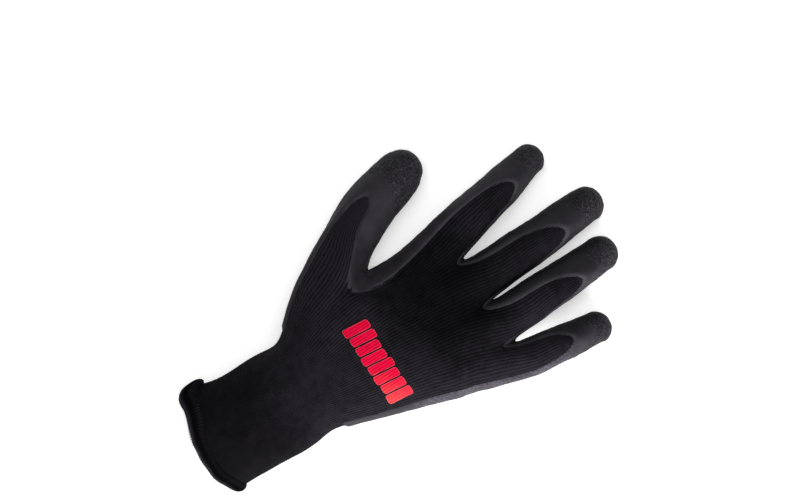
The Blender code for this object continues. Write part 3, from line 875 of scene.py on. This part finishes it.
def new_mesh(name, points, edges, faces):
    mesh = bpy.data.meshes.new(name)
    mesh.from_pydata([tuple(point) for point in points], edges, faces)
    return mesh


@contextmanager
def editing(mesh):
    """The mesh's corners and faces, open to change."""
    edit = bmesh.new()
    edit.from_mesh(mesh)
    yield edit
    edit.to_mesh(mesh)
    edit.free()


def evaluated_mesh(shape):
    bpy.context.view_layer.update()
    graph = bpy.context.evaluated_depsgraph_get()
    return bpy.data.meshes.new_from_object(shape.evaluated_get(graph))


def set_levels(modifier, levels):
    modifier.levels = levels
    modifier.render_levels = levels


def smooth_skins(cage, levels):
    """The cage's smooth surface at each of those levels, through its sections.

    A face keeps its kind as its material's number, and its place in the knit.
    """
    mesh = new_mesh("skin", cage.points, [], cage.faces)
    for polygon, kind in zip(mesh.polygons, cage.kinds):
        polygon.material_index = kind
    for name in KINDS:
        mesh.materials.append(bpy.data.materials.new(name))
    chart = mesh.uv_layers.new(name="knit")
    chart.data.foreach_set("uv", [c for face in cage.charts for corner in face for c in corner])
    shape = new_object("skin", mesh)
    smooth = shape.modifiers.new("smooth", "SUBSURF")
    smooth.boundary_smooth = "PRESERVE_CORNERS"
    set_levels(smooth, KNIT_LEVEL)
    for _ in range(FIT_ROUNDS):
        fitted = evaluated_mesh(shape)
        for number, target in enumerate(cage.points):
            mesh.vertices[number].co += target - fitted.vertices[number].co
        bpy.data.meshes.remove(fitted)
        mesh.update()
    skins = []
    for level in levels:
        set_levels(smooth, level)
        skins.append(evaluated_mesh(shape))
    bpy.data.objects.remove(shape)
    return skins


def read_places(mesh):
    places = np.empty(len(mesh.vertices) * 3)
    mesh.vertices.foreach_get("co", places)
    return places.reshape(-1, 3)


def read_normals(mesh):
    mesh.update()
    return np.array([tuple(v.normal) for v in mesh.vertices])


def write_places(mesh, places):
    mesh.vertices.foreach_set("co", np.ascontiguousarray(places).ravel())
    mesh.update()


def mark(mesh, name, values):
    """Keeps a number at each place of the mesh, for its finish to read."""
    layer = mesh.attributes.new(name, "FLOAT", "POINT")
    layer.data.foreach_set("value", np.asarray(values, np.float32))


def nearest(points):
    """A tree that finds the nearest of the points, its number and how far it is."""
    tree = kdtree.KDTree(len(points))
    for number, point in enumerate(points):
        tree.insert(point, number)
    tree.balance()
    return tree


def uneven(places, swell):
    """A soft unevenness: a number for each place, up to about its depth either way."""
    offset = Vector((swell.seed, 2.0 * swell.seed, 3.0 * swell.seed))
    return np.array([noise.noise(Vector(p) / swell.size + offset) for p in places]) * swell.depth


def soften(mesh):
    """Small swells of the filled knit, the same on every skin of it."""
    places = read_places(mesh)
    swells = sum(uneven(places, swell) for swell in KNIT_SWELLS)
    moved = places + read_normals(mesh) * swells[:, None]
    room = COVER * smoothstep(*COVERED_FROM, places[:, 1] + WRIST_SET_BACK)
    moved[:, 2] = np.maximum(moved[:, 2], room)
    write_places(mesh, moved)


def only(skin, *kinds):
    """A copy of the skin with the faces of those kinds alone."""
    mesh = skin.copy()
    wanted = {KINDS.index(kind) for kind in kinds}
    with editing(mesh) as edit:
        gone = [face for face in edit.faces if face.material_index not in wanted]
        bmesh.ops.delete(edit, geom=gone, context="FACES")
    return mesh


def finish_piece(shape, made_of, slot, *nodes):
    """Gives a piece its material, puts it on the glove and hides what it stands for."""
    shape.data.materials.clear()
    shape.data.materials.append(made_of)
    shape.data.polygons.foreach_set("material_index", [0] * len(shape.data.polygons))
    shape.data.shade_smooth()
    shape.data.set_sharp_from_angle(angle=SHARP_ANGLE)
    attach(shape, "root")
    if nodes:
        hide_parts(*nodes)


def thicken_inwards(shape, wall):
    solid = shape.modifiers.new("wall", "SOLIDIFY")
    solid.thickness = wall
    solid.offset = -1.0
    mesh = evaluated_mesh(shape)
    shape.modifiers.remove(solid)
    shape.data = mesh


def add_liner(skin, made_of):
    shape = new_object("knit_hand", only(skin, "coated", "bare"))
    thicken_inwards(shape, LINER_WALL)
    finish_piece(shape, made_of, "liner_knit", "knit_liner")


def add_cuff(skin, made_of):
    shape = new_object("elastic_cuff", only(skin, "cuff"))
    thicken_inwards(shape, CUFF_WALL)
    finish_piece(shape, made_of, "cuff_knit", "knit_cuff")


def coat_edge_distance(mesh):
    """Distance from the coat's edge along the skin, in metres, positive under the coat.

    Each place is then averaged with its neighbours, which rounds the edge's corners.
    """
    count = len(mesh.vertices)
    bare = np.zeros(count, bool)
    coated = np.zeros(count, bool)
    for polygon in mesh.polygons:
        target = coated if KINDS[polygon.material_index] == "coated" else bare
        target[list(polygon.vertices)] = True
    places = read_places(mesh)
    edge = np.flatnonzero(bare & coated)
    tree = nearest(places[edge])
    reach = np.array([tree.find(p)[2] for p in places])
    signed = np.where(coated, reach, -reach)
    signed[edge] = 0.0
    ends = np.empty(len(mesh.edges) * 2, np.int32)
    mesh.edges.foreach_get("vertices", ends)
    first, second = ends.reshape(-1, 2).T
    neighbours = np.bincount(ends, minlength=count)
    for _ in range(EDGE_ROUNDS):
        near = np.bincount(first, signed[second], count)
        near += np.bincount(second, signed[first], count)
        signed = near / neighbours
    return signed


def thumb_web_spread(places):
    """How much farther the coat reaches over the knit beside the thumb's web."""
    start, end = (np.array(point) for point in WEB_SPREAD_LINE)
    run = end - start
    share = np.clip(((places[:, :2] - start) @ run) / (run @ run), 0.0, 1.0)
    reach = np.linalg.norm(places[:, :2] - start - share[:, None] * run, axis=1)
    taper = 1.0 - WEB_SPREAD_TAPER * share
    return WEB_SPREAD * taper * (1.0 - smoothstep(*WEB_SPREAD_ENDS, reach))


def lower_edge(places):
    """Height of the coat's lower edge above the wrist seam: an arc round the palm."""
    share = places[:, 0] / (WRIST_WIDTH / 2.0)
    return COAT_START + COAT_ARC * np.minimum(1.0, np.abs(share)) ** 2


def add_coat(skin, made_of):
    """The latex sheet: it swells out of the knit at its edge and covers the palm."""
    places = read_places(skin)
    normals = read_normals(skin)
    across, along = places[:, 0], places[:, 1]
    above_wrist = along + WRIST_SET_BACK - lower_edge(places)
    signed = np.minimum(coat_edge_distance(skin) + thumb_web_spread(places), above_wrist)
    plain_back = smoothstep(*FACING, normals[:, 2])
    plain_back *= 1.0 - smoothstep(*BACK_CRINKLED_FROM, signed)
    crinkled = smoothstep(*CRINKLED_FROM, signed) * (1.0 - plain_back)
    # painted highlight: paler latex on faces turned to the little finger's side, where the low
    # side lamp's light falls
    painted_side_highlight = smoothstep(*LIT_SIDE_FACING, normals[:, 0]) * smoothstep(*LIT_SIDE_ACROSS, across)
    painted_side_highlight *= smoothstep(*LIT_SIDE_FROM, along) * (1.0 - smoothstep(*LIT_SIDE_TO, along))
    # painted shade: darker latex on the fingers' faces turned towards the thumb
    painted_thumbward_shade = smoothstep(*FACING, -normals[:, 0]) * smoothstep(*THUMBWARD_SHADE_FROM, along)
    painted_thumbward_shade *= smoothstep(*THUMBWARD_SHADE_ACROSS, across)
    lift = between(-COAT_SINK, COVER, smoothstep(*COAT_LIP, signed))
    lift += crinkled * uneven(places, LATEX_CRINKLES)
    moved = places + normals * lift[:, None]
    moved[:, 2] = np.maximum(moved[:, 2], 0.0)
    mesh = skin.copy()
    write_places(mesh, moved)
    mark(mesh, "edge_mm", signed * 1000.0)
    mark(mesh, "crinkled", crinkled)
    mark(mesh, "painted_side_highlight", painted_side_highlight)
    mark(mesh, "painted_thumbward_shade", painted_thumbward_shade)
    beyond = signed < COAT_LIP[0]
    with editing(mesh) as edit:
        gone = [v for v in edit.verts if beyond[v.index]]
        bmesh.ops.delete(edit, geom=gone, context="VERTS")
    finish_piece(new_object("latex_palm", mesh), made_of, "palm_latex", "palm_coat")


def mouth_loop(skin):
    """The cuff's open edge at its mouth, in order round it, with outward directions."""
    edit = bmesh.new()
    edit.from_mesh(skin)
    edit.normal_update()
    start = min(edit.verts, key=lambda v: v.co.y)
    loop = [start]
    while True:
        onward = [
            edge.other_vert(loop[-1]) for edge in loop[-1].link_edges
            if edge.is_boundary and edge.other_vert(loop[-1]) not in loop[-2:]
        ]
        if not onward or onward[0] is start:
            break
        loop.append(onward[0])
    found = [(v.co.copy(), v.normal.copy()) for v in loop]
    edit.free()
    return found


def hem_places(skin):
    """The hem's middle line round the mouth, and the way outwards at each place."""
    loop = mouth_loop(skin)
    centre = sum((point for point, _ in loop), Vector()) / len(loop)
    half = max(point.x - centre.x for point, _ in loop)
    hem = []
    for point, normal in loop:
        out = Vector((normal.x, 0.0, normal.z)).normalized()
        sideways, upwards = abs(out.x), abs(out.z)
        side = HEM_FLARE.little if point.x > centre.x else HEM_FLARE.thumb
        level = HEM_FLARE.back if point.z > centre.z else HEM_FLARE.under
        flare = (side * sideways ** 2 + level * upwards ** 2) * HEM_THICKNESS
        middle = point + out * (flare - CUFF_WALL / 2.0)
        share = ((point.x - centre.x) / half + 1.0) / 2.0
        narrowed = min(1.0, HEM_SPREAD.run * share)
        width = HEM_WIDTH * between(HEM_SPREAD.thumb, HEM_SPREAD.little, narrowed)
        middle.y -= SEAM_GAP + HEM_WIDTH - width / 2.0
        hem.append(HemPlace(middle, out, width))
    return hem


def mark_from_edge(mesh, hem):
    """Marks how far each place is from the hem's outer edge: -1 there, 1 at the cuff."""
    tree = nearest([(spot.middle.x, 0.0, spot.middle.z) for spot in hem])
    values = []
    for vertex in mesh.vertices:
        spot = hem[tree.find((vertex.co.x, 0.0, vertex.co.z))[1]]
        values.append((vertex.co.y - spot.middle.y) / (spot.width / 2.0))
    mark(mesh, "from_edge", values)


def add_hem(hem, made_of):
    """The folded roll that the overlock thread wraps."""
    points, faces = [], []
    for spot in hem:
        lump = 1.0 + HEM_LUMP_SHARE * noise.noise(spot.middle / HEM_LUMP_SIZE)
        for k in range(HEM_SIDES):
            turn = 2.0 * math.pi * k / HEM_SIDES
            point = spot.middle + spot.out * (math.cos(turn) * lump * HEM_THICKNESS / 2.0)
            point.y += math.sin(turn) * spot.width / 2.0
            point.z = max(point.z, 0.0)
            points.append(point)
    for ring in range(len(hem)):
        here, after = (number * HEM_SIDES for number in (ring, (ring + 1) % len(hem)))
        for k in range(HEM_SIDES):
            onward = (k + 1) % HEM_SIDES
            faces.append([here + k, here + onward, after + onward, after + k])
    mesh = new_mesh("hem_roll", points, [], faces)
    with editing(mesh) as edit:
        bmesh.ops.recalc_face_normals(edit, faces=edit.faces)
    mark_from_edge(mesh, hem)
    finish_piece(new_object("hem_roll", mesh), made_of, "hem_overlock", "cuff_hem")


def stitch_tree(made_of):
    """Loops of thread at even steps round a path, each across the path's run."""
    tree = bpy.data.node_groups.new("overlock_loops", "GeometryNodeTree")
    face = tree.interface
    face.new_socket("Path", in_out="INPUT", socket_type="NodeSocketGeometry")
    sizes = {}
    for name, kind, value in (
        ("Loops", "NodeSocketInt", 120),
        ("Loop Width", "NodeSocketFloat", HEM_THICKNESS),
        ("Loop Length", "NodeSocketFloat", HEM_WIDTH),
        ("Thread Radius", "NodeSocketFloat", THREAD_RADIUS),
        ("Slant", "NodeSocketFloat", LOOP_SLANT),
    ):
        socket = face.new_socket(name, in_out="INPUT", socket_type=kind)
        socket.default_value = value
        sizes[name] = socket.identifier
    face.new_socket("Thread", in_out="OUTPUT", socket_type="NodeSocketGeometry")
    given = tree.nodes.new("NodeGroupInput").outputs

    def node(kind, sockets=None, **settings):
        return add_node(tree, kind, sockets, **settings)

    def named(name):
        kind = "GeometryNodeInputNamedAttribute"
        return node(kind, {"Name": name}, data_type="FLOAT_VECTOR")

    path = node("GeometryNodeMeshToCurve", {"Mesh": given["Path"]})
    spaced = node("GeometryNodeResampleCurve", {"Curve": path, "Count": given["Loops"]})
    run = node("GeometryNodeInputTangent")
    turned = node("FunctionNodeAlignRotationToVector", {"Vector": run}, axis="Z")
    sockets = {"Rotation": turned, "Vector": named("outwards")}
    turned = node("FunctionNodeAlignRotationToVector", sockets, axis="X", pivot_axis="Z")
    slant = node("ShaderNodeCombineXYZ", {"X": given["Slant"]})
    sockets = {"Rotation": turned, "Rotate By": slant}
    turned = node("FunctionNodeRotateRotation", sockets, rotation_space="LOCAL")
    circle = node("GeometryNodeCurvePrimitiveCircle", {"Resolution": LOOP_SIDES, "Radius": 0.5})
    sockets = {"X": given["Loop Width"], "Y": given["Loop Length"], "Z": 1.0}
    size = node("ShaderNodeCombineXYZ", sockets)
    loop = node("GeometryNodeTransform", {"Geometry": circle, "Scale": size})
    sockets = {"Resolution": THREAD_SIDES, "Radius": given["Thread Radius"]}
    section = node("GeometryNodeCurvePrimitiveCircle", sockets)
    thread = node("GeometryNodeCurveToMesh", {"Curve": loop, "Profile Curve": section})
    sockets = {
        "Points": spaced, "Instance": thread, "Rotation": turned, "Scale": named("stretch"),
    }
    loops = node("GeometryNodeInstanceOnPoints", sockets)
    real = node("GeometryNodeRealizeInstances", {"Geometry": loops})
    dressed = node("GeometryNodeSetMaterial", {"Geometry": real, "Material": made_of})
    tree.links.new(dressed, tree.nodes.new("NodeGroupOutput").inputs["Thread"])
    return tree, sizes


def add_hem_stitches(hem, made_of):
    """Overlock thread wound round the hem."""
    count = len(hem)
    edges = [(k, (k + 1) % count) for k in range(count)]
    mesh = new_mesh("hem_path", [spot.middle for spot in hem], edges, [])
    outwards = mesh.attributes.new("outwards", "FLOAT_VECTOR", "POINT")
    outwards.data.foreach_set("vector", [c for spot in hem for c in spot.out])
    stretch = mesh.attributes.new("stretch", "FLOAT_VECTOR", "POINT")
    for spot, item in zip(hem, stretch.data):
        item.vector = (1.0, spot.width / HEM_WIDTH, 1.0)
    path = new_object("hem_path", mesh)
    tree, sizes = stitch_tree(made_of)
    nodes = path.modifiers.new("loops", "NODES")
    nodes.node_group = tree
    length = sum((hem[k].middle - hem[k - 1].middle).length for k in range(count))
    nodes[sizes["Loops"]] = round(length / LOOP_SPACING)
    nodes[sizes["Loop Width"]] = HEM_THICKNESS + LOOP_ROOM
    nodes[sizes["Loop Length"]] = HEM_WIDTH + LOOP_ROOM
    nodes[sizes["Thread Radius"]] = THREAD_RADIUS
    nodes[sizes["Slant"]] = LOOP_SLANT
    thread = evaluated_mesh(path)
    bpy.data.objects.remove(path)
    places = read_places(thread)
    places[:, 2] = np.maximum(places[:, 2], 0.0)
    write_places(thread, places)
    mark_from_edge(thread, hem)
    finish_piece(new_object("hem_thread", thread), made_of, "hem_overlock")


def print_bars():
    """Start and end of each bar along the band."""
    bars = PRINT_SLITS + 1
    width = (PRINT_LENGTH - PRINT_SLITS * PRINT_SLIT_WIDTH) / bars
    step = width + PRINT_SLIT_WIDTH
    start = PRINT_CENTRE_X - PRINT_LENGTH / 2.0
    return [(start + step * k, start + step * k + width) for k in range(bars)]


def ragged_ends(number):
    """Both ends of a bar across the band. Each end has a place of its own in the noise."""
    return [
        side * PRINT_WIDTH / 2.0
        + PRINT_RAGGED * noise.noise(Vector((1.7 * number, 5.3 * side, 0.5)))
        for side in (-1.0, 1.0)
    ]


def add_print(skin, made_of):
    """Slanted bars with rounded corners, laid on the knitted back."""
    tree = BVHTree.FromPolygons(
        [v.co for v in skin.vertices], [tuple(p.vertices) for p in skin.polygons]
    )
    points, faces, chart, rim = [], [], [], []
    for number, (low, high) in enumerate(print_bars()):
        ends = ragged_ends(number)
        first = len(points)
        for r in range(PRINT_ROWS + 1):
            share = r / PRINT_ROWS
            into_corner = max(0.0, PRINT_CORNER - min(share, 1.0 - share) * PRINT_WIDTH)
            inset = PRINT_CORNER - math.sqrt(max(0.0, PRINT_CORNER ** 2 - into_corner ** 2))
            lean = PRINT_SLANT * (share - 0.5)
            for c in range(PRINT_COLUMNS + 1):
                x = between(low + inset, high - inset, c / PRINT_COLUMNS) + lean
                y = PRINT_ABOVE_WRIST + between(*ends, share)
                above = from_wrist(x, y, 2.0 * BACK_HEIGHT)
                hit, normal, _, _ = tree.ray_cast(above, Vector((0.0, 0.0, -1.0)))
                points.append(hit + normal * PRINT_LIFT)
                chart.append((x / PRINT_WALE, y / COURSE))
                rim.append(float(c in (0, PRINT_COLUMNS) or r in (0, PRINT_ROWS)))
        for r in range(PRINT_ROWS):
            for c in range(PRINT_COLUMNS):
                a = first + r * (PRINT_COLUMNS + 1) + c
                faces.append([a, a + 1, a + PRINT_COLUMNS + 2, a + PRINT_COLUMNS + 1])
    mesh = new_mesh("back_band", points, [], faces)
    layer = mesh.uv_layers.new(name="knit")
    layer.data.foreach_set("uv", [c for face in faces for v in face for c in chart[v]])
    mark(mesh, "rim", rim)
    shape = new_object("back_band", mesh)
    thicken_inwards(shape, PRINT_THICKNESS)
    finish_piece(shape, made_of, "back_print", "back_print")


def build():
    add_camera()
    add_studio()
    fine, finest = smooth_skins(glove_cage(), (KNIT_LEVEL, COAT_LEVEL))
    for skin in (fine, finest):
        soften(skin)
    add_liner(fine, knit_finish("black_knit"))
    add_cuff(fine, knit_finish("black_elastic_knit"))
    add_coat(finest, latex_finish())
    add_print(finest, print_finish())
    hem = hem_places(finest)
    thread = thread_finish()
    add_hem(hem, thread)
    add_hem_stitches(hem, thread)


build()
